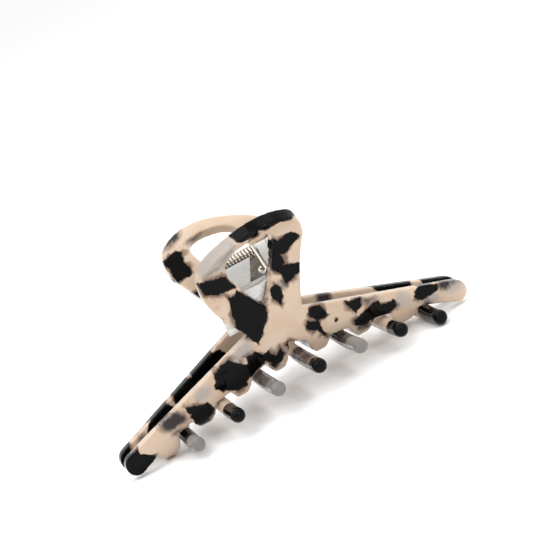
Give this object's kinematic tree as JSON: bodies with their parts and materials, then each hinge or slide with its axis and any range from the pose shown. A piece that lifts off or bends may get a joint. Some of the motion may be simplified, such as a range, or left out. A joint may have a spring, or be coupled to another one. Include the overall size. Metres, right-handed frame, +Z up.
{
  "type": "hair claw clip",
  "caption": "Long acetate claw clip with looped handles, a hinge with a torsion spring between two riveted plates, and interlocking curved teeth.",
  "frame": {"origin": "centre of the clip's underside: midway between the jaws and their arm tips, at the height of the undersides of the outermost teeth", "axes": "+X along the hinge pin and the clip's length, +Z up from the teeth to the handles, the front jaw on the -Y side"},
  "size_m": [0.11, 0.0554, 0.053],
  "materials": {
    "acetate": "polished cellulose acetate, tan with black and grey tortoise patches",
    "plate_steel": "satin nickel plate",
    "pin_steel": "bright drawn steel",
    "spring_steel": "bright nickel-plated spring wire",
    "rivet_steel": "bright nickel"
  },
  "bodies": {
    "back_half": {"back_jaw": "acetate", "back_hinge_plate": "plate_steel", "back_rivet_left": "rivet_steel", "back_rivet_right": "rivet_steel", "hinge_pin": "pin_steel", "torsion_spring": "spring_steel"},
    "front_half": {"front_jaw": "acetate", "front_hinge_plate": "plate_steel", "front_rivet_left": "rivet_steel", "front_rivet_right": "rivet_steel"}
  },
  "joints": [
    {"name": "jaw_hinge", "type": "hinge", "parent": "back_half", "child": "front_half", "pos_m": [0, 0, 0.04109], "axis": [-1, 0, 0], "range_deg": [0, 60], "stiffness_Nm_per_rad": 0.08, "springref_deg": -34.38, "deforming": ["torsion_spring"]}
  ]
}
